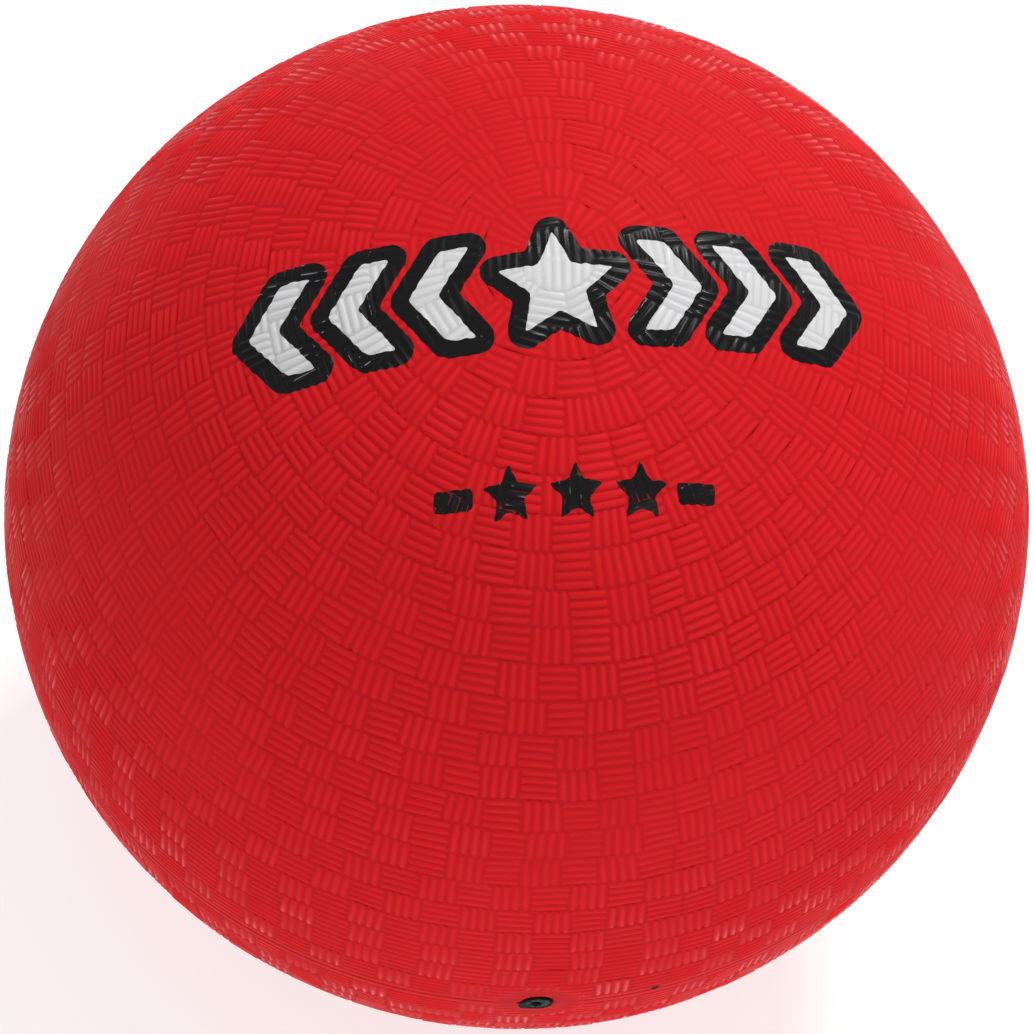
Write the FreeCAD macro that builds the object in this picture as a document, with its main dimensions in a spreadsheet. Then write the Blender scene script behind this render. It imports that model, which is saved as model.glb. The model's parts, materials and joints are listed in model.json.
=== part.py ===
import FreeCAD, Part
import math
import os

import Sketcher
from FreeCAD import Rotation, Vector

# A playground ball: a rubber cover in two halves over a thread winding and a bladder,
# with a needle valve in the parting plane and ink films on the upper half.
# Frame: origin at the ball's centre, +Z through the printed pole, the mould's parting
# plane at Z = 0 and the valve's axis along -Y. Lengths are in millimetres.

DIMENSIONS = {
    # the ball and its wall, from the outside in
    "ball_radius": 107.95,
    "cover_thickness": 1.6,
    "winding_thickness": 0.25,
    "bladder_thickness": 0.85,
    # the valve: radii, then lengths along its axis
    "neck_radius": 3.0,
    "seat_radius": 2.6,
    "head_radius": 2.55,
    "pocket_radius": 2.3,
    "stem_radius": 2.25,
    "tip_radius": 1.75,
    "air_hole_radius": 1.1,
    "boss_radius": 6.5,
    "flange_radius": 12.0,
    "flange_depth": 4.4,
    "face_recess": 0.1,
    "head_thickness": 0.8,
    "plug_length": 12.5,
    "tip_length": 2.0,
    "pocket_depth": 12.7,
    "housing_length": 15.5,
    "cutter_start": 80.0,
    # the needle's lead-in
    "needle_radius": 1.05,
    "needle_depth": 4.0,
    # the ink films
    "ink_thickness": 0.15,
    "ink_border": 3.2,
    "star_radius": 11.4,
    "star_waist": 5.2,
    "mark_height": 18.5,
    "chevron_width": 5.4,
    "chevron_reach": 6.5,
    "chevron_pitch": 14.6,
    "chevron_start": 15.4,
    "mark_centre_y": -5.5,
    "mark_turn": 3.0,
    "small_star_radius": 5.4,
    "small_star_waist": 2.5,
    "small_star_pitch": 12.0,
    "bar_length": 7.0,
    "bar_height": 3.6,
    "bar_centre": 22.2,
    "size_centre_x": 2.5,
    "size_centre_y": -43.5,
    "size_turn": 2.0,
}

CHEVRONS_PER_SIDE = 3
STAR_POINTS = 5

doc = FreeCAD.newDocument("playground_ball")
sheet = doc.addObject("Spreadsheet::Sheet", "Sizes")
for row, (alias, value) in enumerate(DIMENSIONS.items(), start=1):
    sheet.set(f"A{row}", alias)
    sheet.set(f"B{row}", str(value))
    sheet.setAlias(f"B{row}", alias)
doc.recompute()


def size(alias):
    """The number in the sheet's cell of that name."""
    return float(sheet.get(alias))


def terms(*aliases):
    """A sum of cells as (number, expression). An alias with a leading minus is subtracted."""
    number = 0.0
    expression = ""
    for alias in aliases:
        sign = "-" if alias.startswith("-") else "+"
        name = alias.lstrip("-")
        number += -size(name) if sign == "-" else size(name)
        expression += f"{sign}Sizes.{name}"
    return number, expression.lstrip("+")


def primitive(kind, name, **bound):
    """A Part primitive whose properties are bound to sums of cells."""
    shape = doc.addObject(kind, name)
    for prop, aliases in bound.items():
        shape.setExpression(prop, terms(*aliases)[1])
    return shape


def cut(name, base, tool):
    """base with tool taken away."""
    result = doc.addObject("Part::Cut", name)
    result.Base = base
    result.Tool = tool
    return result


def joined(name, *shapes):
    """Several shapes as one."""
    result = doc.addObject("Part::MultiFuse", name)
    result.Shapes = list(shapes)
    return result


# ---------------------------------------------------------------- the round wall

COVER_INSIDE = ("ball_radius", "-cover_thickness")
WINDING_INSIDE = COVER_INSIDE + ("-winding_thickness",)
BLADDER_INSIDE = WINDING_INSIDE + ("-bladder_thickness",)
CUTTER_START = ("cutter_start",)


def valve_cylinder(name, radius, low, high):
    """A cylinder on the valve's axis, between two heights above the ball's centre."""
    lift = "-(" + terms(*low)[1] + ")"
    rod = primitive("Part::Cylinder", name, Radius=(radius,))
    rod.setExpression("Height", f"{terms(*high)[1]} - ({terms(*low)[1]})")
    rod.Placement = FreeCAD.Placement(Vector(), Rotation(Vector(1, 0, 0), 90))
    rod.setExpression(".Placement.Base.y", lift)
    return rod


def layer(label, outside, inside, latitudes=(-90, 90)):
    """A spherical layer of the wall between two latitudes, pierced by the valve's neck."""
    outer = primitive("Part::Sphere", label + "_outside", Radius=outside)
    outer.Angle1, outer.Angle2 = latitudes
    inner = primitive("Part::Sphere", label + "_inside", Radius=inside)
    shell = cut(label + "_shell", outer, inner)
    hole = valve_cylinder(label + "_hole", "neck_radius", CUTTER_START, ("ball_radius",))
    return cut(label, shell, hole)


cover_upper = layer("cover_upper", ("ball_radius",), COVER_INSIDE, (0, 90))
cover_lower = layer("cover_lower", ("ball_radius",), COVER_INSIDE, (-90, 0))
thread_winding = layer("thread_winding", COVER_INSIDE, WINDING_INSIDE)
bladder = layer("bladder", WINDING_INSIDE, BLADDER_INSIDE)

# ---------------------------------------------------------------- the valve housing

FACE = ("ball_radius", "-face_recess")
SEAT = FACE + ("-head_thickness",)
POCKET_FLOOR = SEAT + ("-pocket_depth",)
HOUSING_END = FACE + ("-housing_length",)
FLANGE_BACK = ("ball_radius", "-flange_depth")


def valve_housing():
    """A boss and flange that fit the bladder's inside, a neck through the wall, and the
    stepped pocket that the plug sits in."""
    flange = valve_cylinder("housing_flange", "flange_radius", FLANGE_BACK, ("ball_radius",))
    boss = valve_cylinder("housing_boss", "boss_radius", HOUSING_END, FLANGE_BACK)
    inner_ball = primitive("Part::Sphere", "housing_limit", Radius=BLADDER_INSIDE)
    solid = joined("housing_solid", flange, boss)
    inside = doc.addObject("Part::Common", "housing_inside")
    inside.Base = solid
    inside.Tool = inner_ball
    neck = valve_cylinder("housing_neck", "neck_radius", FLANGE_BACK, FACE)
    blank = joined("housing_blank", inside, neck)
    pocket = joined(
        "housing_pocket",
        valve_cylinder("housing_seat", "seat_radius", SEAT, ("ball_radius",)),
        valve_cylinder("housing_bore", "pocket_radius", POCKET_FLOOR, ("ball_radius",)),
        valve_cylinder("housing_air_hole", "air_hole_radius", CUTTER_START, ("ball_radius",)),
    )
    return cut("valve_housing", blank, pocket)


housing = valve_housing()

# ---------------------------------------------------------------- the valve plug
# The plug is turned about its own axis. In its sketch x is the radius and y the height
# above the ball's centre; the finished body is turned round to face along -Y.


def origin_plane(body, role):
    """One of the body's own origin planes."""
    return next(f for f in body.Origin.OriginFeatures if f.Role == role)


def attached_sketch(body, name, role):
    """A sketch on one of the body's own origin planes."""
    sketch = body.newObject("Sketcher::SketchObject", name)
    sketch.AttachmentSupport = [(origin_plane(body, role), "")]
    sketch.MapMode = "FlatFace"
    return sketch


def bind(sketch, kind, *where, aliases):
    """A driving constraint whose value is a sum of cells."""
    number, expression = terms(*aliases)
    index = sketch.addConstraint(Sketcher.Constraint(kind, *where, number))
    sketch.setExpression(f"Constraints[{index}]", expression)


def closed_profile(sketch, corners):
    """A polygon whose corners are (radius, height), each a sum of cells. () is zero."""
    points = [Vector(terms(*radius)[0], terms(*height)[0]) for radius, height in corners]
    for here, there in zip(points, points[1:] + points[:1]):
        sketch.addGeometry(Part.LineSegment(here, there), False)
    for side, (radius, height) in enumerate(corners):
        following = (side + 1) % len(corners)
        sketch.addConstraint(Sketcher.Constraint("Coincident", side, 2, following, 1))
        if radius:
            bind(sketch, "DistanceX", -1, 1, side, 1, aliases=radius)
        else:
            sketch.addConstraint(Sketcher.Constraint("PointOnObject", side, 1, -2))
        bind(sketch, "DistanceY", -1, 1, side, 1, aliases=height)


def valve_plug():
    """A headed soft plug with a tapered tip and a blind lead-in for the needle."""
    body = doc.addObject("PartDesign::Body", "valve_plug")
    profile = attached_sketch(body, "plug_profile", "XY_Plane")
    plug_end = FACE + ("-plug_length",)
    closed_profile(
        profile,
        [
            ((), plug_end),
            (("tip_radius",), plug_end),
            (("stem_radius",), plug_end + ("tip_length",)),
            (("stem_radius",), SEAT),
            (("head_radius",), SEAT),
            (("head_radius",), FACE),
            ((), FACE),
        ],
    )
    turn = body.newObject("PartDesign::Revolution", "plug_turned")
    turn.Profile = profile
    turn.ReferenceAxis = (profile, ["V_Axis"])
    turn.Angle = 360
    doc.recompute()
    solid_volume = turn.Shape.Volume

    mouth = attached_sketch(body, "needle_mouth", "XZ_Plane")
    mouth.setExpression(".AttachmentOffset.Base.z", "-(" + terms(*FACE)[1] + ")")
    mouth.addGeometry(Part.Circle(Vector(), Vector(0, 0, 1), size("needle_radius")), False)
    mouth.addConstraint(Sketcher.Constraint("Coincident", 0, 3, -1, 1))
    bind(mouth, "Radius", 0, aliases=("needle_radius",))
    lead_in = body.newObject("PartDesign::Pocket", "needle_lead_in")
    lead_in.Profile = mouth
    lead_in.setExpression("Length", terms("needle_depth")[1])
    doc.recompute()
    removed = solid_volume - body.Shape.Volume
    expected = math.pi * size("needle_radius") ** 2 * size("needle_depth")
    if abs(removed - expected) > 0.01 * expected:
        lead_in.Reversed = True
        doc.recompute()
        removed = solid_volume - body.Shape.Volume
    if abs(removed - expected) > 0.01 * expected:
        raise RuntimeError(f"the lead-in removed {removed:.2f} of {expected:.2f} mm3")
    body.Placement = FreeCAD.Placement(Vector(), Rotation(Vector(0, 0, 1), 180))
    return body


plug = valve_plug()

# ---------------------------------------------------------------- the ink films
# The marks are drawn flat, in millimetres seen from above the pole, and a film is the
# part of their upright prism that lies within the ink's thickness over the cover.


def star(centre_x, radius, waist):
    """The corners of an upright star, starting at its top point."""
    corners = []
    for i in range(2 * STAR_POINTS):
        reach = waist if i % 2 else radius
        angle = math.pi / 2 + i * math.pi / STAR_POINTS
        x = centre_x + reach * math.cos(angle)
        y = reach * math.sin(angle)
        corners.append((x, y))
    return corners


def chevron(start_x, side):
    """The corners of a chevron that points away from the star. side is 1 or -1."""
    half = size("mark_height") / 2
    width = size("chevron_width")
    reach = size("chevron_reach")
    corners = [
        (0, -half),
        (width, -half),
        (width + reach, 0),
        (width, half),
        (0, half),
        (reach, 0),
    ]
    return [(side * (start_x + x), y) for x, y in corners]


def bar(centre_x):
    """The corners of a short level bar."""
    half_length = size("bar_length") / 2
    half_height = size("bar_height") / 2
    return [
        (centre_x - half_length, -half_height),
        (centre_x + half_length, -half_height),
        (centre_x + half_length, half_height),
        (centre_x - half_length, half_height),
    ]


def flat_mark(name, corners, centre, turn):
    """A flat face with this outline, turned by that many degrees and moved to centre."""
    points = [Vector(x, y, 0) for x, y in corners]
    mark = doc.addObject("Part::Feature", name)
    mark.Shape = Part.Face(Part.makePolygon(points + points[:1]))
    mark.Placement = FreeCAD.Placement(Vector(*centre, 0), Rotation(Vector(0, 0, 1), turn))
    return mark


def bordered(name, flat):
    """A flat face widened all round by the ink border, with rounded corners."""
    wide = doc.addObject("Part::Offset2D", name)
    wide.Source = flat
    wide.Join = "Arc"
    wide.setExpression("Value", "Sizes.ink_border")
    return wide


def upright(name, flats):
    """The prisms that stand on flat faces and reach past the ball's pole, as one shape."""
    prisms = []
    for i, flat in enumerate(flats, start=1):
        prism = doc.addObject("Part::Extrusion", f"{name}_{i}")
        prism.Base = flat
        prism.DirMode = "Custom"
        prism.Dir = Vector(0, 0, 1)
        prism.Solid = True
        prism.setExpression("LengthFwd", "2 * Sizes.ball_radius")
        prisms.append(prism)
    return joined(name, *prisms)


def film(label, prism):
    """The part of a prism that lies in the ink's thickness over the cover."""
    over = primitive("Part::Sphere", label + "_over", Radius=("ball_radius", "ink_thickness"))
    under = primitive("Part::Sphere", label + "_under", Radius=("ball_radius",))
    skin = cut(label + "_skin", over, under)
    ink = doc.addObject("Part::Common", label)
    ink.Base = prism
    ink.Tool = skin
    return ink


def big_mark():
    """The star with chevrons either side: a white film, and a black film around it."""
    outlines = [star(0, size("star_radius"), size("star_waist"))]
    for i in range(CHEVRONS_PER_SIDE):
        start_x = size("chevron_start") + i * size("chevron_pitch")
        outlines += [chevron(start_x, 1), chevron(start_x, -1)]
    centre = (0, size("mark_centre_y"))
    turn = size("mark_turn")
    flats = [flat_mark(f"big_{i}", o, centre, turn) for i, o in enumerate(outlines, start=1)]
    wide = [bordered(f"border_{i}", flat) for i, flat in enumerate(flats, start=1)]
    border = cut("border_ring", upright("border_prism", wide), upright("border_core", flats))
    return film("print_white", upright("white_prism", flats)), film("print_black", border)


def size_marks():
    """A row of three small stars between two bars, in black ink only."""
    radius = size("small_star_radius")
    waist = size("small_star_waist")
    pitch = size("small_star_pitch")
    outlines = [star(i * pitch, radius, waist) for i in (-1, 0, 1)]
    outlines += [bar(side * size("bar_centre")) for side in (-1, 1)]
    centre = (size("size_centre_x"), size("size_centre_y"))
    turn = size("size_turn")
    flats = [flat_mark(f"small_{i}", o, centre, turn) for i, o in enumerate(outlines, start=1)]
    return film("size_marks", upright("size_prism", flats))


print_white, print_black = big_mark()
small_marks = size_marks()

# ---------------------------------------------------------------- check and write

SUB_PARTS = {
    "cover_upper": cover_upper,
    "cover_lower": cover_lower,
    "thread_winding": thread_winding,
    "bladder": bladder,
    "valve_housing": housing,
    "valve_plug": plug,
    "print_white": print_white,
    "print_black": print_black,
    "size_marks": small_marks,
}

for label, sub_part in SUB_PARTS.items():
    sub_part.Label = label
doc.recompute()

for item in doc.Objects:
    if "Invalid" in item.State or "Error" in item.State:
        raise RuntimeError(f"{item.Name} failed: {item.State}")
for label, sub_part in SUB_PARTS.items():
    shape = sub_part.Shape
    if shape.isNull() or not shape.isValid() or not shape.Solids:
        raise RuntimeError(f"{label} has no valid solid")

os.makedirs("parts", exist_ok=True)
for label, sub_part in SUB_PARTS.items():
    sub_part.Shape.exportStep(f"parts/{label}.step")
    solids = len(sub_part.Shape.Solids)
    print(f"{label}: {solids} solid(s), {sub_part.Shape.Volume:.1f} mm3")
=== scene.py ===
import json
import math
import random

import bpy
import numpy as np
from mathutils import Matrix, Vector, noise
from mathutils.bvhtree import BVHTree
from mathutils.geometry import delaunay_2d_cdt


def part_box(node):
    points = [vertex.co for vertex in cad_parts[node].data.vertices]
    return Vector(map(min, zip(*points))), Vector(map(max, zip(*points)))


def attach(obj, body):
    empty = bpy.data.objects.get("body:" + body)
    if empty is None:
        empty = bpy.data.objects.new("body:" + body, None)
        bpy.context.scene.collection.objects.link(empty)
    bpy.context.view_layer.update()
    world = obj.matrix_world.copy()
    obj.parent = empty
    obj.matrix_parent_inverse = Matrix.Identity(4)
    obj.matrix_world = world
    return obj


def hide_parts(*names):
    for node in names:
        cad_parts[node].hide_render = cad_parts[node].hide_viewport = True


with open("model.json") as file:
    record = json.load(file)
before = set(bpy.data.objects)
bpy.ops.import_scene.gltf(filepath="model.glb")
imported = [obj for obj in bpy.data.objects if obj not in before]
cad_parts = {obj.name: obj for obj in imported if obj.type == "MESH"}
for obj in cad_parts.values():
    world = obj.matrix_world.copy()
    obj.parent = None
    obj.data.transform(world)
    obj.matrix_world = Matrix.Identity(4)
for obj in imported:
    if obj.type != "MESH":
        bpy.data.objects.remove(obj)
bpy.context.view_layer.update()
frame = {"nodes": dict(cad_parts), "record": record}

# ------------------------------------------------------------------ sizes from the frame

MM = 0.001
MOUNTS = {mount["name"]: mount for mount in frame["record"]["mounts"]}
RADIUS = -MOUNTS["rest_point"]["pos_m"][2]
COVER_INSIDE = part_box("thread_winding")[1].x


def turned_corners(node):
    """The outline of a CAD node that is turned about the valve's axis, in mm: its smallest
    and largest radius at each depth below the ball's surface that has a corner."""
    corners = {}
    for vertex in frame["nodes"][node].data.vertices:
        depth = round((RADIUS + vertex.co.y) / MM, 1)
        radius = math.hypot(vertex.co.x, vertex.co.z) / MM
        low, high = corners.get(depth, (radius, radius))
        corners[depth] = (min(low, radius), max(high, radius))
    return corners


HOUSING = turned_corners("valve_housing")
PLUG = turned_corners("valve_plug")
FACE_DEPTH = min(HOUSING)
SEAT_RADIUS, NECK_RADIUS = HOUSING[FACE_DEPTH]
LINING_REACH = min(vertex.co.length for vertex in frame["nodes"]["bladder"].data.vertices)

# ------------------------------------------------------------------ the basket weave
# Each half of the ball carries rings of blocks about its pole. A block is a patch of
# parallel ridges, and the ridges of neighbouring blocks run crosswise. Angles: theta
# from the pole, azimuth round the pole, zero at the valve.

RING_STEP = math.radians(3.7)
RINGS = 24
BLOCK_WIDTH = 7.25 * MM
RIDGES = 4
RIDGE_HEIGHT = 0.48 * MM
RIDGE_WAVE = (0.0, 0.46, 1.0, 0.46)
GROOVE = 0.05 * MM / RADIUS
SAMPLES = RIDGES * len(RIDGE_WAVE)
ACROSS = [i / SAMPLES for i in range(SAMPLES + 1)]
WAVE = [RIDGE_WAVE[i % len(RIDGE_WAVE)] for i in range(SAMPLES + 1)]
# a ridge drops to this at its ends, over this share of its length
END_HEIGHT = 0.2
END_SHARE = 0.09
COARSE = (0.0, END_SHARE, 1 - END_SHARE, 1.0)
FINE = (0.0, *(END_SHARE + (1 - 2 * END_SHARE) * i / 13 for i in range(14)), 1.0)
# the mould was cut by hand, so the ridges wander this far, in waves about this long. In worn
# patches the weave is shallower: its heights move by up to the share WEAR towards WORN_LEVEL
WANDER = 0.6 * MM
WANDER_WAVE = 11 * MM
WEAR = 0.5
WORN_LEVEL = 0.33
WEAR_WIDTH = 40 * MM
WEAR_START = Vector((14.7, 11.2, 0.0))
# without a seed, vectors of noise start from the clock
noise.seed_set(5)
# blocks differ in their ridges' height, their edges are out of place by up to this share of
# a block's width, and each ring is turned by up to this many blocks
STRENGTH = (0.7, 1.0)
EDGE_SLIP = 0.03
RING_SLIP = 0.12
# the cap's ridges fade out beyond this share of its width
CAP_FADE = 0.88
CAP_ROWS = 12
CAP_COLUMNS = 96
BAND_ROWS = ((89.0, 0.4), (89.8, 0.4), (90.0, 0.05))
BAND_COLUMNS = 540
TURN = 2 * math.pi

# the smooth pad round the valve, and the hole that the valve's neck fills. The weave fades
# out from PAD_OUTER to PAD_INNER, and the collar is (radius, lift above the pad), in mm
PAD_START = 9.3 * MM
PAD_OUTER = 8.8 * MM
PAD_INNER = 6.2 * MM
PAD_LEVEL = 0.1
PAD_REACH = RADIUS - RIDGE_HEIGHT * (1 - PAD_LEVEL)
PAD_ROWS = 13
COLLAR = ((5.2, 0.0), (4.3, 0.02), (3.75, 0.05), (3.48, -0.02), (NECK_RADIUS + 0.04, -0.2))
NEAR_VALVE = 16 * MM
WOVEN_CUT = 9.8 * MM
INSIDE_CUT = 5.4 * MM
HOLE_STEPS = 80
INNER_ROWS = 24
INNER_COLUMNS = 128


def smooth_step(low, high, value):
    """0 below low, 1 above high and a smooth rise between."""
    share = min(max((value - low) / (high - low), 0.0), 1.0)
    return share * share * (3 - 2 * share)


def closed(strand):
    """A strand that goes on to its own first vertex, a full turn later."""
    return strand + [(strand[0][0] + TURN, strand[0][1])]


def by_length(points, strand):
    """The strand's vertices with their share of its length as the parameter."""
    places = [Vector(points[vertex]) for vertex in strand]
    along = [0.0]
    for here, there in zip(places, places[1:]):
        along.append(along[-1] + (there - here).length)
    return [(length / along[-1], vertex) for length, vertex in zip(along, strand)]


class Skin:
    """The vertices and faces of a piece while it is built. A vertex's relief is 0 in a
    valley of the weave and 1 on a crest. A strand is a list of (parameter, vertex)."""

    def __init__(self, mirrored=False, inward=False):
        self.points = []
        self.relief = []
        self.faces = []
        self.side = -1 if mirrored else 1
        self.reverse = mirrored != inward

    def add(self, x, y, z, relief=0.0):
        self.points.append((x, y, z * self.side))
        self.relief.append(relief)
        return len(self.points) - 1

    def add_polar(self, theta, azimuth, reach, relief=0.0):
        """A vertex at this distance from the ball's centre."""
        across = reach * math.sin(theta)
        x = across * math.sin(azimuth)
        y = -across * math.cos(azimuth)
        z = 0.0 if theta > math.pi / 2 - 1e-9 else reach * math.cos(theta)
        return self.add(x, y, z, relief)

    def add_woven(self, theta, azimuth, height):
        """A vertex of the weave, moved a little aside, except at the parting line."""
        vertex = self.add_polar(theta, azimuth, RADIUS)
        place = Vector(self.points[vertex])
        strength = WANDER * (1 - smooth_step(1.46, 1.54, theta))
        moved = place + noise.noise_vector(place / WANDER_WAVE) * strength
        worn = smooth_step(-0.1, 0.5, noise.noise(place / WEAR_WIDTH + WEAR_START))
        height += (WORN_LEVEL - height) * WEAR * worn
        reach = RADIUS - RIDGE_HEIGHT * (1 - height)
        self.points[vertex] = tuple(moved.normalized() * reach)
        self.relief[vertex] = height
        return vertex

    def face(self, *corners):
        self.faces.append(corners[::-1] if self.reverse else corners)

    def stitch(self, first, second):
        """Faces between two strands that run the same way, wherever their vertices lie."""
        i = j = 0
        while i < len(first) - 1 or j < len(second) - 1:
            next_first = first[i + 1][0] if i < len(first) - 1 else math.inf
            next_second = second[j + 1][0] if j < len(second) - 1 else math.inf
            if abs(next_first - next_second) < 1e-9:
                self.face(first[i][1], first[i + 1][1], second[j + 1][1], second[j][1])
                i += 1
                j += 1
            elif next_first < next_second:
                self.face(first[i][1], first[i + 1][1], second[j][1])
                i += 1
            else:
                self.face(first[i][1], second[j + 1][1], second[j][1])
                j += 1

    def join_circles(self, upper, lower):
        """The strip between two circles about the pole. upper is the nearer to the pole."""
        start = lower[0][0]
        turned = sorted(((azimuth - start) % TURN + start, vertex) for azimuth, vertex in upper)
        self.stitch(closed(lower), closed(turned))

    def open_edge(self):
        """The vertices round the skin's one open edge, in order."""
        sides = {pair for face in self.faces for pair in zip(face, face[1:] + face[:1])}
        following = {a: b for a, b in sides if (b, a) not in sides}
        edge = [min(following)]
        while following[edge[-1]] != edge[0]:
            edge.append(following[edge[-1]])
        return edge

    def absorb(self, other):
        """Takes in another skin's vertices and faces. Returns what its vertex numbers grew by."""
        shift = len(self.points)
        self.points += other.points
        self.relief += other.relief
        self.faces += [tuple(vertex + shift for vertex in face) for face in other.faces]
        return shift

    def tidy(self):
        """Drops the vertices that no face uses."""
        used = sorted({vertex for face in self.faces for vertex in face})
        number = {vertex: i for i, vertex in enumerate(used)}
        self.points = [self.points[vertex] for vertex in used]
        self.relief = [self.relief[vertex] for vertex in used]
        self.faces = [tuple(number[vertex] for vertex in face) for face in self.faces]
        return self

    def piece(self, name, sharp=180):
        """The finished mesh object with the relief as an attribute. It is smooth shaded,
        apart from edges that turn by more than sharp, in degrees."""
        mesh = bpy.data.meshes.new(name)
        mesh.from_pydata(self.points, [], self.faces)
        relief = mesh.attributes.new("relief", "FLOAT", "POINT")
        relief.data.foreach_set("value", self.relief)
        mesh.shade_smooth()
        mesh.set_sharp_from_angle(angle=math.radians(sharp))
        made = bpy.data.objects.new(name, mesh)
        bpy.context.scene.collection.objects.link(made)
        return made


def add_cap(skin):
    """The round block at the pole, with straight ridges. Returns its outer circle."""
    edge = RING_STEP - GROOVE
    pitch = RING_STEP / RIDGES
    centre = skin.add_woven(0.0, 0.0, 1.0)
    inner = None
    for row in range(1, CAP_ROWS + 1):
        theta = edge * row / CAP_ROWS
        ends = 1 - smooth_step(CAP_FADE, 1.0, theta / edge)
        circle = []
        for column in range(CAP_COLUMNS):
            azimuth = TURN * column / CAP_COLUMNS
            wave = 0.5 + 0.5 * math.cos(TURN * theta * math.sin(azimuth) / pitch)
            circle.append((azimuth, skin.add_woven(theta, azimuth, wave * ends)))
        if inner:
            skin.join_circles(inner, circle)
        else:
            for (_, here), (_, there) in zip(circle, circle[1:] + circle[:1]):
                skin.face(centre, here, there)
        inner = circle
    return inner


def block_edges(ring, seam, rng):
    """The azimuths between the blocks of a ring, each a little out of place as hand-cut."""
    middle = RING_STEP * (ring + 0.5)
    count = round(TURN * RADIUS * math.sin(middle) / BLOCK_WIDTH)
    width = TURN / count
    return [seam + width * (i + rng.uniform(-EDGE_SLIP, EDGE_SLIP)) for i in range(count)]


def near_valve(theta, azimuth):
    """Whether a place is close enough to the valve to need fine faces."""
    aside = math.remainder(azimuth, TURN) * math.sin(theta)
    return RADIUS * math.hypot(aside, math.pi / 2 - theta) < NEAR_VALVE


def ring_columns(skin, ring, seam, rng):
    """The columns of vertices of one ring of blocks, as (azimuth, strand down the ring)."""
    top = RING_STEP * ring + GROOVE
    drop = RING_STEP - 2 * GROOVE
    edges = block_edges(ring, seam, rng)
    columns = []

    def column(azimuth, downs, heights):
        strand = []
        for down, height in zip(downs, heights):
            strand.append((down, skin.add_woven(top + drop * down, azimuth, height)))
        columns.append((azimuth, strand))

    for block, (left, right) in enumerate(zip(edges, edges[1:] + [edges[0] + TURN])):
        strength = rng.uniform(*STRENGTH)
        along = FINE if near_valve(top + drop / 2, (left + right) / 2) else COARSE
        column(left, ACROSS, [0.0] * len(ACROSS))
        if (block + ring) % 2:
            for share in along[1:-1]:
                column(left + (right - left) * share, ACROSS, [strength * w for w in WAVE])
        else:
            for share, wave in zip(ACROSS[1:-1], WAVE[1:-1]):
                crest = strength * wave
                end = crest * END_HEIGHT
                heights = (end, *[crest] * (len(along) - 2), end)
                column(left + (right - left) * share, along, heights)
    return columns


def add_rings(skin, above, seam, rng):
    """Every ring of blocks below the cap. Returns the last circle."""
    for ring in range(1, RINGS):
        blocks = rng.uniform(-RING_SLIP, RING_SLIP)
        slip = blocks * BLOCK_WIDTH / (RADIUS * math.sin(RING_STEP * ring))
        columns = ring_columns(skin, ring, seam + slip, rng)
        first = (columns[0][0] + TURN, columns[0][1])
        for (_, here), (_, there) in zip(columns, columns[1:] + [first]):
            skin.stitch(here, there)
        skin.join_circles(above, [(azimuth, strand[0][1]) for azimuth, strand in columns])
        above = [(azimuth, strand[-1][1]) for azimuth, strand in columns]
    return above


def add_band(skin, above):
    """The plain band between the last ring and the parting line."""
    for degrees, height in BAND_ROWS:
        circle = []
        for column in range(BAND_COLUMNS):
            azimuth = TURN * column / BAND_COLUMNS
            circle.append((azimuth, skin.add_woven(math.radians(degrees), azimuth, height)))
        skin.join_circles(above, circle)
        above = circle


def add_inside(skin):
    """The smooth inner face of a cover half."""
    centre = skin.add_polar(0.0, 0.0, COVER_INSIDE)
    above = None
    for row in range(1, INNER_ROWS + 1):
        circle = []
        for column in range(INNER_COLUMNS):
            azimuth = TURN * column / INNER_COLUMNS
            theta = math.pi / 2 * row / INNER_ROWS
            circle.append((azimuth, skin.add_polar(theta, azimuth, COVER_INSIDE)))
        if above:
            skin.join_circles(above, circle)
        else:
            for (_, here), (_, there) in zip(circle, circle[1:] + circle[:1]):
                skin.face(centre, here, there)
        above = circle


def pad_height(surface, radius, x, z):
    """The weave's height there, faded towards the smooth pad round the valve."""
    place = Vector((x, -math.sqrt(RADIUS ** 2 - radius ** 2), z))
    woven = 1 - (RADIUS - surface.find_nearest(place)[0].length) / RIDGE_HEIGHT
    return PAD_LEVEL + (woven - PAD_LEVEL) * smooth_step(PAD_INNER, PAD_OUTER, radius)


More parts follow.
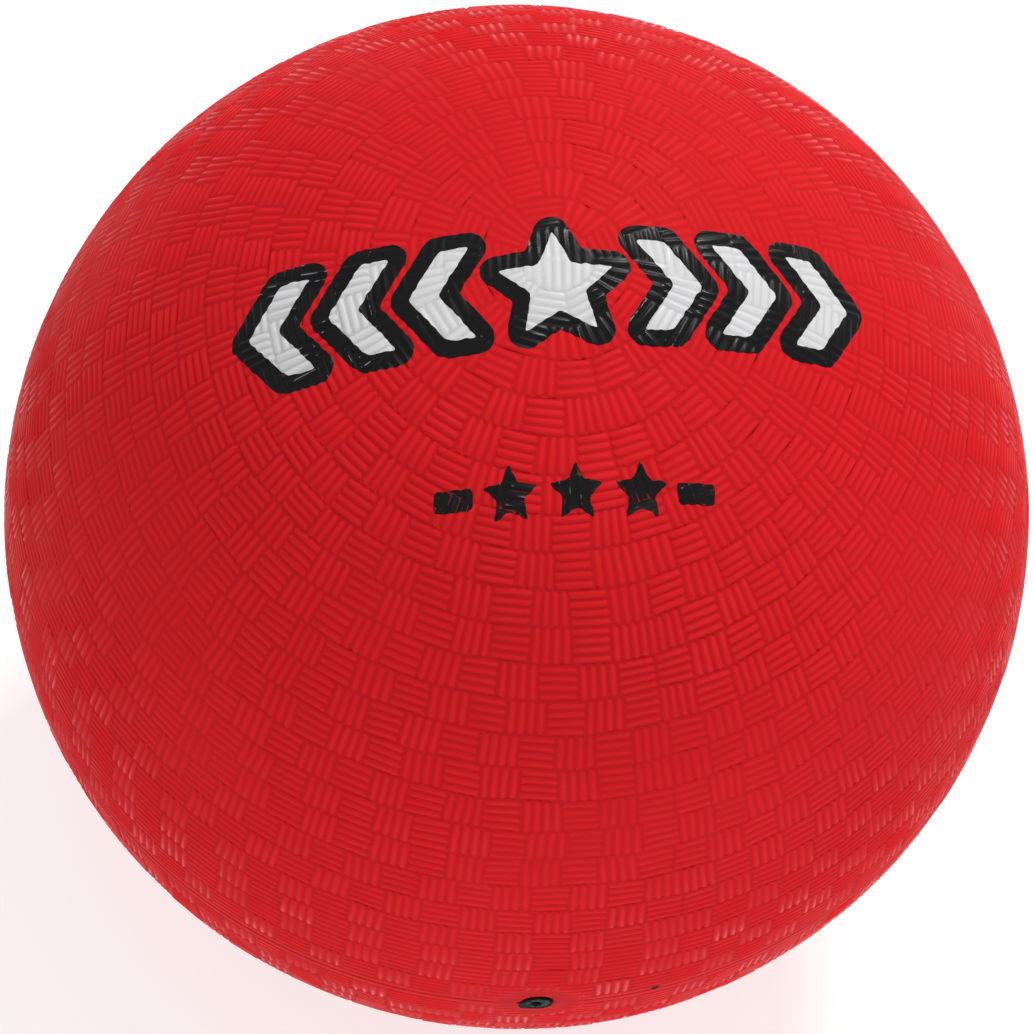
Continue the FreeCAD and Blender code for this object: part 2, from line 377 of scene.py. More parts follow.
def close_round_valve(skin, cut, lip):
    """Cuts a half skin back from the valve's axis and brings it in again along the lip, a
    list of (radius, distance from the ball's centre), or of (radius, None) where it follows
    the weave. Returns the last half circle, from the left of the valve to its right, and
    the strand along the parting plane."""
    surface = BVHTree.FromPolygons(skin.points, skin.faces)
    near = {i for i, (x, y, z) in enumerate(skin.points) if y < 0 and math.hypot(x, z) < cut}
    skin.faces = [face for face in skin.faces if near.isdisjoint(face)]
    edge = skin.open_edge()
    flat = [abs(skin.points[vertex][2]) < 1e-9 for vertex in edge]
    begin = next(i for i in range(len(edge)) if flat[i] and not flat[(i + 1) % len(edge)])
    edge = edge[begin:] + edge[:begin]
    flat = flat[begin:] + flat[:begin]
    notch = edge[:flat.index(True, 1) + 1]
    if skin.points[notch[0]][0] > 0:
        notch.reverse()
    outer = by_length(skin.points, notch)
    level = [vertex for vertex, is_flat in zip(edge, flat) if is_flat]
    for radius, lip_reach in lip:
        circle = []
        for i in range(HOLE_STEPS + 1):
            share = i / HOLE_STEPS
            x = -radius * math.cos(math.pi * share)
            z = 0.0 if i in (0, HOLE_STEPS) else radius * math.sin(math.pi * share)
            relief = PAD_LEVEL
            reach = lip_reach
            if reach is None:
                relief = pad_height(surface, radius, x, z * skin.side)
                reach = RADIUS - RIDGE_HEIGHT * (1 - relief)
            y = -math.sqrt(reach ** 2 - radius ** 2)
            circle.append((share, skin.add(x, y, z, relief)))
        skin.stitch(circle, outer)
        level += [circle[0][1], circle[-1][1]]
        outer = circle
    return outer, level


def level_strand(points, vertices):
    """Vertices in the parting plane, in order of their azimuth from the valve."""
    strand = []
    for vertex in vertices:
        x, y, _ = points[vertex]
        strand.append((math.atan2(x, -y) % TURN, vertex))
    return sorted(strand)


def cover_half(name, seam, seed, mirrored=False):
    """One half of the cover: the woven face, the smooth inner face and the edges between.
    Returns the piece and its woven face."""
    rng = random.Random(seed)
    woven = Skin(mirrored)
    add_band(woven, add_rings(woven, add_cap(woven), seam, rng))
    pad = [PAD_START - (PAD_START - PAD_INNER) * i / PAD_ROWS for i in range(PAD_ROWS + 1)]
    lip = [(radius, None) for radius in pad]
    lip += [(radius * MM, PAD_REACH + lift * MM) for radius, lift in COLLAR]
    outer_circle, outer_level = close_round_valve(woven, WOVEN_CUT, lip)
    face = Skin(mirrored)
    face.absorb(woven)

    inside = Skin(mirrored, inward=True)
    add_inside(inside)
    inner_lip = ((COLLAR[-1][0] * MM, COVER_INSIDE),)
    inner_circle, inner_level = close_round_valve(inside, INSIDE_CUT, inner_lip)
    shift = woven.absorb(inside)
    inner_circle = [(share, vertex + shift) for share, vertex in inner_circle]
    inner_level = [vertex + shift for vertex in inner_level]
    woven.stitch(inner_circle, outer_circle)
    woven.stitch(
        level_strand(woven.points, inner_level), level_strand(woven.points, outer_level)
    )
    return woven.tidy().piece(name), face.tidy()


# ------------------------------------------------------------------ the ink films
# A film is cut from the woven face itself, along the outline of its CAD node, and lifted
# by the ink's thickness, so that the ridges show through it.

INK_UNDER = 0.02 * MM
INK_RIM = 0.7
INK_STEP = 0.45 * MM
INK_ROUNDS = 3
INK_WAVER = 0.2 * MM
INK_WAVE = 1.3 * MM


def chained(sides):
    """Directed sides joined end to end into closed loops of keys."""
    following = dict(sides)
    loops = []
    while following:
        loop = [min(following)]
        while following[loop[-1]] != loop[0]:
            loop.append(following.pop(loop[-1]))
        following.pop(loop[-1])
        loops.append(loop)
    return loops


def wavered(outline):
    """An outline in short steps, with softer corners and a slight waver, as ink has that
    was pressed over ridges."""
    lengths = np.linalg.norm(np.roll(outline, -1, axis=0) - outline, axis=1)
    along = np.concatenate(([0.0], np.cumsum(lengths)))
    steps = np.linspace(0.0, along[-1], round(along[-1] / INK_STEP), endpoint=False)
    round_trip = np.vstack((outline, outline[:1]))
    places = np.column_stack([np.interp(steps, along, round_trip[:, k]) for k in (0, 1)])
    for _ in range(INK_ROUNDS):
        places = (np.roll(places, 1, axis=0) + 2 * places + np.roll(places, -1, axis=0)) / 4
    shifts = [noise.noise_vector(Vector((x, y, 0.0)) / INK_WAVE)[:2] for x, y in places]
    return places + np.array(shifts) * INK_WAVER


def widest(outlines):
    """The outlines that go round ink, without those that go round a hole in it."""
    ahead = [np.roll(outline, -1, axis=0) for outline in outlines]
    areas = [np.sum(a[:, 0] * b[:, 1] - a[:, 1] * b[:, 0]) for a, b in zip(outlines, ahead)]
    return [outline for outline, area in zip(outlines, areas) if area > 0]


def film_outlines(node):
    """The outlines of a film node's outer face, seen from above, as arrays of (x, y)."""
    mesh = frame["nodes"][node].data
    keys = [tuple(round(c / MM, 3) for c in vertex.co) for vertex in mesh.vertices]
    reach = [math.dist(key, (0, 0, 0)) for key in keys]
    limit = (max(reach) + RADIUS / MM) / 2
    sides = set()
    for polygon in mesh.polygons:
        corners = tuple(polygon.vertices)
        if min(reach[v] for v in corners) > limit:
            named = [keys[v] for v in corners]
            sides.update(zip(named, named[1:] + named[:1]))
    rim = {a: b for a, b in sides if (b, a) not in sides}
    return [np.array(loop)[:, :2] * MM for loop in chained(rim.items())]


def inside_outlines(outlines, places):
    """Whether each (x, y) lies inside any of the outlines, counted by crossings."""
    crossings = np.zeros(len(places), int)
    for outline in outlines:
        ahead = np.roll(outline, -1, axis=0)
        for (x1, y1), (x2, y2) in zip(outline, ahead):
            spans = (y1 > places[:, 1]) != (y2 > places[:, 1])
            with np.errstate(divide="ignore", invalid="ignore"):
                x = x1 + (places[:, 1] - y1) * (x2 - x1) / (y2 - y1)
            crossings += spans & (places[:, 0] < x)
    return crossings % 2 == 1


class Cloth:
    """The woven face as triangles, with what is needed to cut films from it."""

    def __init__(self, skin):
        self.points = np.array(skin.points)
        self.relief = np.array(skin.relief)
        triangles = []
        for face in skin.faces:
            triangles.append(face[:3])
            if len(face) == 4:
                triangles.append((face[0], face[2], face[3]))
        self.triangles = np.array(triangles)
        corners = self.points[self.triangles]
        flat = np.cross(corners[:, 1] - corners[:, 0], corners[:, 2] - corners[:, 0])
        self.normals = np.zeros_like(self.points)
        for corner in range(3):
            np.add.at(self.normals, self.triangles[:, corner], flat)
        self.normals /= np.linalg.norm(self.normals, axis=1)[:, None]

    def around(self, outlines, margin):
        """The triangles of the upper side that reach into the outlines' box."""
        everything = np.vstack(outlines)
        low = everything.min(axis=0) - margin
        high = everything.max(axis=0) + margin
        corners = self.points[self.triangles]
        box = (corners[:, :, :2].max(axis=1) > low) & (corners[:, :, :2].min(axis=1) < high)
        return self.triangles[box.all(axis=1) & (corners[:, :, 2].min(axis=1) > 0)]

    def sample(self, triangle, x, y):
        """Place, normal and relief at a point seen from above inside a triangle."""
        a, b, c = self.points[triangle]
        across = np.array([[b[0] - a[0], c[0] - a[0]], [b[1] - a[1], c[1] - a[1]]])
        u, v = np.linalg.solve(across, (x - a[0], y - a[1]))
        share = np.clip((1 - u - v, u, v), 0, 1)
        share /= share.sum()
        place = share @ self.points[triangle]
        normal = share @ self.normals[triangle]
        return place, normal / np.linalg.norm(normal), float(share @ self.relief[triangle])


def draped_film(name, cloth, outlines, lift):
    """A thin closed film with these outlines that follows the weave."""
    patch = cloth.around(outlines, 1.0 * MM)
    used, local = np.unique(patch, return_inverse=True)
    local = local.reshape(-1, 3)
    flat = [Vector(cloth.points[vertex][:2] / MM) for vertex in used]
    edges = {tuple(sorted(pair)) for t in local.tolist() for pair in zip(t, t[1:] + t[:1])}
    edges = sorted(edges)
    for outline in outlines:
        first = len(flat)
        count = len(outline)
        flat += [Vector(place / MM) for place in outline]
        edges += [(first + i, first + (i + 1) % count) for i in range(count)]
    places, _, faces, sources, _, _ = delaunay_2d_cdt(flat, edges, [], 0, 1e-5, True)
    middles = np.array([[sum(places[v][k] for v in face) / 3 for k in (0, 1)] for face in faces])
    kept = [face for face, is_in in zip(faces, inside_outlines(outlines, middles * MM)) if is_in]

    above = BVHTree.FromPolygons(
        [(*cloth.points[vertex][:2] / MM, 0.0) for vertex in used], local.tolist()
    )
    number = {}
    spots = []
    for vertex in sorted({v for face in kept for v in face}):
        number[vertex] = len(spots)
        own = [source for source in sources[vertex] if source < len(used)]
        if own:
            source = used[own[0]]
            spots.append((cloth.points[source], cloth.normals[source], cloth.relief[source]))
        else:
            x, y = places[vertex]
            nearest = above.find_nearest((x, y, 0.0))[2]
            spots.append(cloth.sample(patch[nearest], x * MM, y * MM))
    faces = [tuple(number[v] for v in face) for face in kept]
    sides = {pair for face in faces for pair in zip(face, face[1:] + face[:1])}
    rim = sorted(pair for pair in sides if pair[::-1] not in sides)
    on_rim = {vertex for pair in rim for vertex in pair}

    film = Skin()
    for i, (place, normal, relief) in enumerate(spots):
        film.add(*(place + normal * lift * (INK_RIM if i in on_rim else 1.0)), float(relief))
    for place, normal, relief in spots:
        film.add(*(place - normal * INK_UNDER), float(relief))
    shift = len(spots)
    film.faces = list(faces)
    film.faces += [tuple(v + shift for v in face[::-1]) for face in faces]
    film.faces += [(a, a + shift, b + shift, b) for a, b in rim]
    piece = film.piece(name)
    sharp = {frozenset(pair) for pair in rim}
    sharp |= {frozenset((a + shift, b + shift)) for a, b in rim}
    marks = piece.data.attributes.new("sharp_edge", "BOOLEAN", "EDGE")
    is_sharp = [frozenset(edge.vertices) in sharp for edge in piece.data.edges]
    marks.data.foreach_set("value", is_sharp)
    return piece


# ------------------------------------------------------------------ the valve
# Profiles turned about the valve's axis are lists of (radius, depth below the ball's
# surface), in mm.

VALVE_STEPS = 96
# the squeezed-out rubber: its reach past the neck at each angle in degrees, and its section
# as (share of the reach, lift above the pad)
FLASH = ((170, 0.0), (183, 1.2), (197, 0.75), (212, 1.2), (231, 1.9), (248, 0.9), (258, 0.0))
FLASH_STEP = 2
FLASH_SECTION = (
    (-0.1, -0.08),
    (-0.1, 0.26),
    (0.3, 0.27),
    (0.75, 0.2),
    (0.96, 0.06),
    (0.98, -0.08),
)
# the radii of the grooves moulded in the plug's face
FACE_RINGS = (1.6, 2.1)


def turned(profile, looped=False, swell=None):
    """The skin of a turned profile, which runs outwards over the faces that look out of the
    ball. swell(radius, depth, angle) widens it."""
    skin = Skin()
    rows = []
    for radius, depth in profile:
        row = []
        for step in range(VALVE_STEPS):
            angle = TURN * step / VALVE_STEPS
            reach = (radius + (swell(radius, depth, angle) if swell else 0.0)) * MM
            place = (reach * math.cos(angle), depth * MM - RADIUS, reach * math.sin(angle))
            row.append(skin.add(*place) if radius or not row else row[0])
        rows.append(row)
    for here, there in zip(rows, rows[1:] + rows[:1] if looped else rows[1:]):
        for step in range(VALVE_STEPS):
            following = (step + 1) % VALVE_STEPS
            corners = (here[step], there[step], there[following], here[following])
            skin.face(*dict.fromkeys(corners))
    return skin


def flash_reach(degrees):
    """How far the squeezed-out rubber reaches past the neck there, in mm."""
    for (start, low), (end, high) in zip(FLASH, FLASH[1:]):
        if start <= degrees <= end:
            smooth = low + (high - low) * smooth_step(start, end, degrees)
            return smooth * (1 + 0.25 * noise.noise(Vector((degrees / 5, 0.0, 0.0))))
    return 0.0


def valve_flash():
    """The thin tongue of rubber that squeezed out of the joint at one side of the neck."""
    skin = Skin()
    rows = []
    for degrees in range(FLASH[0][0], FLASH[-1][0] + 1, FLASH_STEP):
        angle = math.radians(degrees)
        out = flash_reach(degrees) + 0.05
        row = []
        for share, lift in FLASH_SECTION:
            radius = (NECK_RADIUS + out * share) * MM
            reach = PAD_REACH + lift * MM
            y = -math.sqrt(reach ** 2 - radius ** 2)
            row.append(skin.add(radius * math.cos(angle), y, radius * math.sin(angle)))
        rows.append(row)
    for here, there in zip(rows, rows[1:]):
        for i in range(len(here)):
            following = (i + 1) % len(here)
            skin.face(here[i], here[following], there[following], there[i])
    skin.face(*rows[0][::-1])
    skin.face(*rows[-1])
    return skin


def valve_housing():
    """The housing: a rounded rim round the plug, a neck through the wall, a flange that
    fits the bladder's inside, and a boss with the plug's pocket."""
    depths = sorted(HOUSING)
    seat = depths[1]
    flange_back, floor, end = depths[-3:]
    pocket = HOUSING[seat][0]
    flange = HOUSING[flange_back][1]
    air_hole, boss = HOUSING[end]
    rim = FACE_DEPTH
    lining = []
    for step in range(13):
        radius = NECK_RADIUS + (flange - 0.3 - NECK_RADIUS) * step / 12
        depth = (RADIUS - math.sqrt(LINING_REACH ** 2 - (radius * MM) ** 2)) / MM
        lining.append((radius, depth))
    edge = lining[-1][1]
    profile = [
        (SEAT_RADIUS, seat),
        (SEAT_RADIUS, rim + 0.14),
        (SEAT_RADIUS + 0.04, rim + 0.04),
        (SEAT_RADIUS + 0.12, rim - 0.03),
        (NECK_RADIUS - 0.16, rim - 0.03),
        (NECK_RADIUS - 0.05, rim + 0.03),
        (NECK_RADIUS, rim + 0.16),
        *lining,
        (flange - 0.08, edge + 0.12),
        (flange, edge + 0.32),
        (flange, flange_back - 0.3),
        (flange - 0.1, flange_back - 0.08),
        (flange - 0.35, flange_back),
        (boss + 0.8, flange_back),
        (boss + 0.25, flange_back + 0.15),
        (boss, flange_back + 0.7),
        (boss, end - 0.6),
        (boss - 0.2, end - 0.15),
        (boss - 0.6, end),
        (air_hole + 0.2, end),
        (air_hole, end - 0.2),
        (air_hole, floor),
        (pocket, floor),
        (pocket, seat + 0.15),
        (pocket + 0.1, seat),
    ]
    skin = turned(profile, looped=True)
    skin.absorb(valve_flash())
    return skin.piece("valve_housing_moulded", sharp=38)


def needle_lip(radius, depth, angle):
    """How much the mouth of the needle's lead-in is torn wider there, mostly at the left."""
    if depth > FACE_DEPTH + 0.5:
        return 0.0
    near = 1 - smooth_step(1.15, 1.44, radius)
    left = max(0.0, -math.cos(angle))
    return near * (0.24 * left + 0.04 * math.sin(3 * angle) + 0.03 * math.sin(7 * angle + 1))


def valve_plug():
    """The plug: a headed stem with a tapered tip, moulding rings on its face and the torn
    mouth of the needle's lead-in."""
    face, seat, lead_end, taper, *_, tip = sorted(PLUG)
    lead, head = PLUG[face]
    stem = PLUG[taper][1]
    nose = PLUG[tip][1]
    profile = [
        (0, lead_end),
        (lead * 0.6, lead_end - 0.05),
        (lead * 0.95, lead_end - 0.35),
        (lead, lead_end - 0.9),
        (lead, face + 0.55),
        (lead + 0.03, face + 0.3),
        (lead + 0.1, face + 0.12),
        (lead + 0.22, face + 0.02),
        (lead + 0.36, face),
    ]
    for ring in FACE_RINGS:
        profile += [
            (ring - 0.16, face),
            (ring - 0.08, face + 0.04),
            (ring - 0.05, face + 0.17),
            (ring + 0.05, face + 0.17),
            (ring + 0.08, face + 0.04),
            (ring + 0.16, face),
        ]
    profile += [
        (head - 0.2, face),
        (head - 0.07, face + 0.04),
        (head, face + 0.18),
        (head, seat - 0.1),
        (head - 0.08, seat),
        (stem + 0.12, seat),
        (stem, seat + 0.15),
        (stem, taper - 0.2),
        (stem - 0.05, taper + 0.15),
        (nose + 0.04, tip - 0.35),
        (nose - 0.1, tip - 0.08),
        (nose - 0.35, tip),
        (0, tip),
    ]
    return turned(profile, swell=needle_lip).piece("valve_plug_moulded", sharp=38)


# ------------------------------------------------------------------ finishes
# Patterns are in the object's own coordinates, so their scales are cycles per metre.


class Finish:
    """A procedural material and short ways to build what drives it."""

    def __init__(self, name, specular=0.5):
        self.material = bpy.data.materials.new(name)
        self.material.use_nodes = True
        self.nodes = self.material.node_tree.nodes
        self.surface = self.nodes["Principled BSDF"]
        self.surface.inputs["Specular IOR Level"].default_value = specular
        self.place = self.nodes.new("ShaderNodeTexCoord").outputs["Object"]

    def feed(self, socket, value):
        """Links a value or sets it."""
        if isinstance(value, bpy.types.NodeSocket):
            self.material.node_tree.links.new(value, socket)
        else:
            socket.default_value = value

    def noise(self, scale, detail=2.0, stretch=None):
        """Cloudy noise from 0 to 1, optionally stretched along an axis."""
        texture = self.nodes.new("ShaderNodeTexNoise")
        place = self.place
        if stretch:
            mapping = self.nodes.new("ShaderNodeMapping")
            mapping.inputs["Scale"].default_value = stretch
            self.feed(mapping.inputs["Vector"], place)
            place = mapping.outputs["Vector"]
        self.feed(texture.inputs["Vector"], place)
        texture.inputs["Scale"].default_value = scale
        texture.inputs["Detail"].default_value = detail
        return texture.outputs["Fac"]

    def relief(self):
        """0 in a valley of the weave and 1 on a crest."""
        attribute = self.nodes.new("ShaderNodeAttribute")
        attribute.attribute_name = "relief"
        return attribute.outputs["Fac"]

    def step(self, value, low, high, start=0.0, end=1.0):
        """start below low, end above high and a smooth change between."""
        ranged = self.nodes.new("ShaderNodeMapRange")
        ranged.interpolation_type = "SMOOTHSTEP"
        self.feed(ranged.inputs["Value"], value)
        limits = {"From Min": low, "From Max": high, "To Min": start, "To Max": end}
        for name, number in limits.items():
            ranged.inputs[name].default_value = number
        return ranged.outputs["Result"]

    def distance(self, *place):
        """How far away this place is."""
        made = self.nodes.new("ShaderNodeVectorMath")
        made.operation = "DISTANCE"
        self.feed(made.inputs[0], self.place)
        made.inputs[1].default_value = place
        return made.outputs["Value"]

    def sum(self, operation, first, second):
        """Two values put together, such as MULTIPLY or ADD."""
        made = self.nodes.new("ShaderNodeMath")
        made.operation = operation
        self.feed(made.inputs[0], first)
        self.feed(made.inputs[1], second)
        return made.outputs["Value"]

    def mix(self, share, first, second, blend="MIX"):
        """A colour between two, or the first blended with the second."""
        made = self.nodes.new("ShaderNodeMix")
        made.data_type = "RGBA"
        made.blend_type = blend
        self.feed(made.inputs[0], share)
        for socket, part in ((made.inputs[6], first), (made.inputs[7], second)):
            self.feed(socket, part if isinstance(part, bpy.types.NodeSocket) else (*part, 1))
        return made.outputs[2]

    def finished(self, colour, roughness, height, depth):
        """The material with these on its surface. depth is the bump's height, in metres."""
        self.feed(self.surface.inputs["Base Color"], colour)
        self.feed(self.surface.inputs["Roughness"], roughness)
        bump = self.nodes.new("ShaderNodeBump")
        bump.inputs["Distance"].default_value = depth
        self.feed(bump.inputs["Height"], height)
        self.feed(self.surface.inputs["Normal"], bump.outputs["Normal"])
        return self.material


# the valley red is the red darkened as painted shade, and the dusty red also stands in for painted
# glints on the crests
RED_CREST = (0.77, 0.0155, 0.021)
RED_VALLEY_SHADED = (0.575, 0.0115, 0.0155)
RED_DUST_AND_GLINT = (0.80, 0.030, 0.032)
# the soot colour also paints shade in the needle's mouth
SOOT_AND_SHADE = (0.012, 0.010, 0.010)


def red_colour(finish):
    """The cover's red: darker in the valleys as painted shade, mottled, and paler on some crests,
    partly from rubbing and partly as a painted highlight.
    """
    relief = finish.relief()
    # painted shade: the red is darker in the valleys of the weave than on the crests
    colour = finish.mix(finish.step(relief, 0.0, 0.7), RED_VALLEY_SHADED, RED_CREST)
    mottle = finish.step(finish.noise(24, 3), 0.35, 0.65, 0.0, 0.16)
    colour = finish.mix(mottle, colour, RED_VALLEY_SHADED)
    # pale red on some crests: partly rubbed, partly a painted highlight that stands in for glints
    rubbed_and_glint = finish.sum(
        "MULTIPLY",
        finish.step(relief, 0.6, 0.9),
        finish.step(finish.noise(420, 4), 0.52, 0.7, 0.0, 0.3),
    )
    return finish.mix(rubbed_and_glint, colour, RED_DUST_AND_GLINT)


def parting_line(finish, colour):
    """The thin dark line where the mould closed, and a smudge of black rubber on it."""
    split = finish.nodes.new("ShaderNodeSeparateXYZ")
    finish.feed(split.inputs[0], finish.place)
    height = finish.sum("ABSOLUTE", split.outputs["Z"], 0.0)
    line = finish.step(height, 0.08 * MM, 0.35 * MM, 1.0, 0.0)
    broken = finish.step(finish.noise(90, 3), 0.42, 0.6, 0.15, 0.6)
    colour = finish.mix(finish.sum("MULTIPLY", line, broken), colour, SOOT_AND_SHADE)
    spot = finish.distance(23.7 * MM, -105.0 * MM, 0.6 * MM)
    ragged = finish.sum("MULTIPLY", finish.noise(900, 2), 1.6 * MM)
    spread = finish.sum("ADD", spot, ragged)
    smudge = finish.step(spread, 1.5 * MM, 2.0 * MM, 0.95, 0.0)
    return finish.mix(smudge, colour, SOOT_AND_SHADE)


def cover_rubber():
    """Red moulded rubber with a fine grain: matt in the valleys of the weave, and polished
    along the crests by handling, which shows where they are seen at a slant."""
    finish = Finish("cover_rubber_red")
    colour = parting_line(finish, red_colour(finish))
    crest = finish.step(finish.relief(), 0.3, 0.8)
    slant = finish.nodes.new("ShaderNodeLayerWeight").outputs["Facing"]
    polish = finish.step(finish.noise(70, 3), 0.35, 0.65)
    handled = finish.sum("MULTIPLY", crest, polish)
    shine = finish.sum("MULTIPLY", handled, finish.step(slant, 0.5, 0.8, 0.3, 1.0))
    finish.feed(finish.surface.inputs["Specular IOR Level"], finish.step(shine, 0.0, 1.0, 0.03, 0.26))
    roughness = finish.step(shine, 0.0, 1.0, 0.55, 0.36)
    grain = finish.sum("ADD", finish.noise(2400, 2), finish.noise(700, 2))
    return finish.finished(colour, roughness, grain, 0.006 * MM)


def black_ink():
    """Glossy black ink with pale lines on the sharpest crests, partly where it has thinned and partly
    a painted highlight.
    """
    finish = Finish("ink_black", specular=0.14)
    relief = finish.relief()
    # pale lines on the crests: partly ink worn thin, partly a painted highlight
    worn = finish.sum(
        "MULTIPLY",
        finish.step(relief, 0.76, 0.92),
        finish.step(finish.noise(380, 3), 0.5, 0.58, 0.0, 0.8),
    )
    colour = finish.mix(worn, (0.006, 0.006, 0.007), (0.42, 0.42, 0.44))
    roughness = finish.step(finish.noise(300, 3), 0.3, 0.7, 0.24, 0.4)
    return finish.finished(colour, roughness, finish.noise(2000, 3), 0.008 * MM)


def size_ink():
    """Thin black ink that the red shows through in the deepest valleys, with pale lines on the
    crests, partly worn ink and partly a painted highlight.
    """
    finish = Finish("ink_black_thin", specular=0.14)
    relief = finish.relief()
    bare = finish.sum(
        "MULTIPLY",
        finish.step(relief, 0.0, 0.1, 1.0, 0.0),
        finish.step(finish.noise(260, 3), 0.52, 0.6, 0.0, 0.6),
    )
    # pale lines on the crests: partly ink worn thin, partly a painted highlight
    worn = finish.sum(
        "MULTIPLY",
        finish.step(relief, 0.76, 0.92),
        finish.step(finish.noise(420, 3), 0.54, 0.62, 0.0, 0.5),
    )
    colour = finish.mix(bare, (0.007, 0.007, 0.008), RED_VALLEY_SHADED)
    colour = finish.mix(worn, colour, (0.30, 0.28, 0.29))
    roughness = finish.step(finish.noise(300, 3), 0.3, 0.7, 0.28, 0.45)
    return finish.finished(colour, roughness, finish.noise(2000, 3), 0.008 * MM)


def white_ink():
    """White ink, greyer in the valleys of the weave as painted shade."""
    finish = Finish("ink_white", specular=0.2)
    relief = finish.relief()
    # painted shade: the ink is greyer in the valleys of the weave than on the crests
    colour = finish.mix(finish.step(relief, 0.0, 0.5), (0.60, 0.59, 0.60), (0.74, 0.74, 0.75))
    soiled = finish.step(finish.noise(180, 4), 0.45, 0.75, 0.0, 0.35)
    colour = finish.mix(soiled, colour, (0.62, 0.61, 0.61))
    roughness = finish.step(finish.noise(300, 3), 0.3, 0.7, 0.3, 0.5)
    return finish.finished(colour, roughness, finish.noise(2000, 3), 0.008 * MM)


def housing_rubber():
    """Black soft rubber with a fine moulded grain."""
    finish = Finish("valve_rubber_black", specular=0.06)
    share = finish.step(finish.noise(1500, 4), 0.38, 0.66)
    colour = finish.mix(share, (0.004, 0.004, 0.004), (0.012, 0.012, 0.012))
    roughness = finish.step(finish.noise(500, 3), 0.3, 0.7, 0.52, 0.68)
    return finish.finished(colour, roughness, finish.noise(3000, 3), 0.01 * MM)


def plug_rubber():
    """Grey-green soft rubber, speckled, and black about the needle's mouth, partly with dirt and
    partly as painted shade of the torn recess.
    """
    finish = Finish("plug_rubber_green", specular=0.06)
    share = finish.step(finish.noise(1500, 4), 0.38, 0.66)
    colour = finish.mix(share, (0.009, 0.013, 0.011), (0.085, 0.115, 0.100))
    # a ragged black patch round the needle's mouth: partly dirt, partly painted shade of the torn
    # recess
    spot = finish.distance(-0.3 * MM, FACE_DEPTH * MM - RADIUS, 0.0)
    ragged = finish.sum("MULTIPLY", finish.noise(1300, 2), 0.9 * MM)
    shade_and_grime = finish.sum("ADD", spot, ragged)
    colour = finish.mix(finish.step(shade_and_grime, 1.6 * MM, 2.0 * MM, 1.0, 0.0), colour, SOOT_AND_SHADE)
    roughness = finish.step(finish.noise(500, 3), 0.3, 0.7, 0.42, 0.58)
    return finish.finished(colour, roughness, finish.noise(3000, 3), 0.01 * MM)


def butyl():
    """Black butyl rubber with a bloom of talc."""
    finish = Finish("butyl_rubber_talced", specular=0.3)
    bloom = finish.step(finish.noise(110, 5), 0.42, 0.7, 0.0, 0.6)
    colour = finish.mix(bloom, (0.012, 0.012, 0.013), (0.11, 0.105, 0.10))
    roughness = finish.step(finish.noise(110, 5), 0.42, 0.7, 0.4, 0.75)
    return finish.finished(colour, roughness, finish.noise(1500, 3), 0.015 * MM)


def nylon():
    """Off-white nylon thread with fine fibres."""
    finish = Finish("nylon_thread_spun", specular=0.4)
    fibres = finish.noise(4000, 2)
    cloudy = finish.step(finish.noise(60, 3), 0.35, 0.65)
    tint = finish.mix(cloudy, (0.66, 0.61, 0.50), (0.80, 0.77, 0.68))
    colour = finish.mix(finish.step(fibres, 0.35, 0.65, 0.0, 0.35), tint, (0.42, 0.37, 0.28))
    return finish.finished(colour, 0.55, fibres, 0.03 * MM)


def floor_finish():
    """A pale matt sweep."""
    finish = Finish("studio_floor", specular=0.15)
    clouds = finish.step(finish.noise(2, 2), 0.3, 0.7)
    colour = finish.mix(clouds, (0.50, 0.50, 0.50), (0.53, 0.53, 0.53))
    finish.surface.inputs["Emission Color"].default_value = (1, 1, 1, 1)
    finish.surface.inputs["Emission Strength"].default_value = 0.6
    return finish.finished(colour, 0.7, finish.noise(400, 2), 0.05 * MM)


# ------------------------------------------------------------------ the pieces


def place_piece(piece, finish, body, node):
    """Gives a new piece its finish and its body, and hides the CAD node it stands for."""
    piece.data.materials.append(finish)
    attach(piece, body)
    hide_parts(node)


red = cover_rubber()
upper, upper_face = cover_half("woven_cover_upper", math.radians(14), seed=8)
lower, _ = cover_half("woven_cover_lower", math.radians(-12), seed=21, mirrored=True)
place_piece(upper, red, "ball", "cover_upper")
place_piece(lower, red, "ball", "cover_lower")

cloth = Cloth(upper_face)
white_outlines = [wavered(outline) for outline in film_outlines("print_white")]
border_outlines = [wavered(outline) for outline in widest(film_outlines("print_black"))]
size_outlines = [wavered(outline) for outline in film_outlines("size_marks")]
frame_outlines = border_outlines + white_outlines
INKS = (
    ("white_film", "print_white", 0.10 * MM, white_outlines, white_ink(), "white_ink"),
    ("black_film", "print_black", 0.06 * MM, frame_outlines, black_ink(), "black_ink"),
    ("size_film", "size_marks", 0.06 * MM, size_outlines, size_ink(), "black_ink"),
)
for name, node, lift, outlines, finish, slot in INKS:
    film = draped_film(name, cloth, outlines, lift)
    place_piece(film, finish, "ball", node)

place_piece(valve_housing(), housing_rubber(), "ball", "valve_housing")
place_piece(valve_plug(), plug_rubber(), "plug", "valve_plug")

for node, finish in (("thread_winding", nylon()), ("bladder", butyl())):
    mesh = frame["nodes"][node].data
    mesh.materials.clear()
    mesh.materials.append(finish)

# ------------------------------------------------------------------ the studio


def add_floor():
    """A pale floor that the ball rests on."""
    half = 6.0
    mesh = bpy.data.meshes.new("floor")
    corners = [(-half, -half), (half, -half), (half, half), (-half, half)]
    mesh.from_pydata([(x, y, -RADIUS) for x, y in corners], [], [(0, 1, 2, 3)])
    mesh.materials.append(floor_finish())
    floor = bpy.data.objects.new("floor", mesh)
    bpy.context.scene.collection.objects.link(floor)


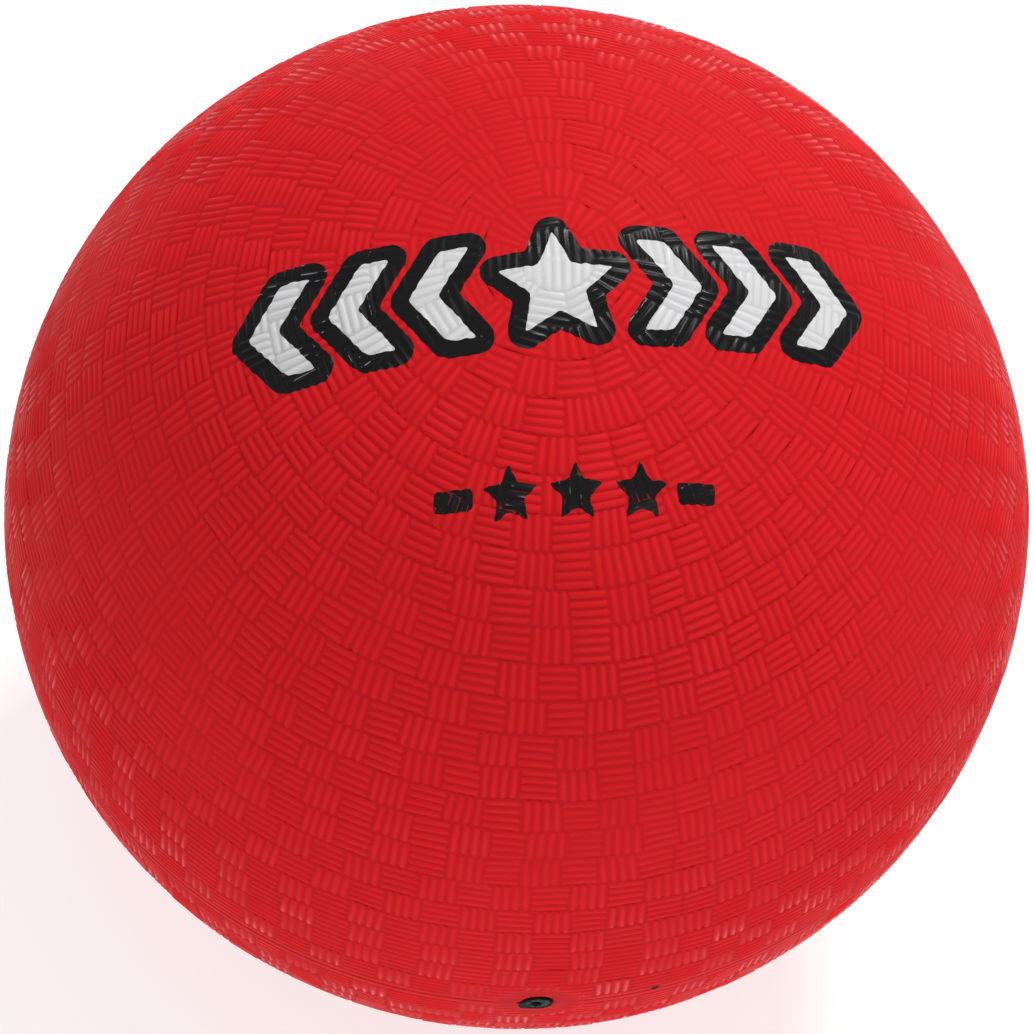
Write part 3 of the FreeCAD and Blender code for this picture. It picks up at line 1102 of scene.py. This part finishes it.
def add_soft_box(name, azimuth, elevation, distance, width, power):
    """A square soft light that faces the ball."""
    a, e = math.radians(azimuth), math.radians(elevation)
    towards = Vector((math.sin(a) * math.cos(e), -math.cos(a) * math.cos(e), math.sin(e)))
    lamp = bpy.data.lights.new(name, "AREA")
    lamp.size = width
    lamp.energy = power
    light = bpy.data.objects.new(name, lamp)
    light.location = towards * distance
    light.rotation_mode = "QUATERNION"
    light.rotation_quaternion = towards.to_track_quat("Z", "Y")
    bpy.context.scene.collection.objects.link(light)


def add_surroundings(walls, ceiling):
    """A plain pale room, as bright as this at the level of the ball and overhead."""
    world = bpy.data.worlds.new("room")
    world.use_nodes = True
    nodes, links = world.node_tree.nodes, world.node_tree.links
    towards = nodes.new("ShaderNodeTexCoord").outputs["Generated"]
    split = nodes.new("ShaderNodeSeparateXYZ")
    links.new(towards, split.inputs[0])
    ranged = nodes.new("ShaderNodeMapRange")
    ranged.interpolation_type = "SMOOTHSTEP"
    links.new(split.outputs["Z"], ranged.inputs["Value"])
    ranged.inputs["To Min"].default_value = walls
    ranged.inputs["To Max"].default_value = ceiling
    links.new(ranged.outputs["Result"], nodes["Background"].inputs["Strength"])
    nodes["Background"].inputs["Color"].default_value = (1, 1, 1, 1)
    bpy.context.scene.world = world


def add_camera(azimuth, elevation, roll, distance, fill):
    """A camera that looks at the ball's centre. distance is in ball radii, and fill is the
    share of the picture's height that the ball's outline takes."""
    a, e, turn = (math.radians(angle) for angle in (azimuth, elevation, roll))
    back = Vector((math.sin(a) * math.cos(e), -math.cos(a) * math.cos(e), math.sin(e)))
    level = Vector((math.cos(a), math.sin(a), 0))
    upright = back.cross(level)
    right = level * math.cos(turn) + upright * math.sin(turn)
    up = back.cross(right)
    lens = bpy.data.cameras.new("camera")
    lens.sensor_width = 36
    outline = math.tan(math.asin(1 / distance))
    lens.lens = lens.sensor_width / 2 * fill / outline
    lens.clip_start = 0.01
    lens.clip_end = 50
    camera = bpy.data.objects.new("camera", lens)
    turned_to = Matrix((right, up, back)).transposed().to_4x4()
    camera.matrix_world = Matrix.Translation(back * distance * RADIUS) @ turned_to
    bpy.context.scene.collection.objects.link(camera)
    bpy.context.scene.camera = camera


bpy.context.scene.view_settings.view_transform = "Standard"
add_floor()
add_surroundings(walls=0.42, ceiling=0.7)
add_soft_box("key", azimuth=152, elevation=43, distance=1.6, width=0.2, power=11.5)
add_soft_box("fill", azimuth=20, elevation=20, distance=1.8, width=1.0, power=6)
add_camera(azimuth=-10, elevation=63.4, roll=8.67, distance=6.5, fill=0.992)
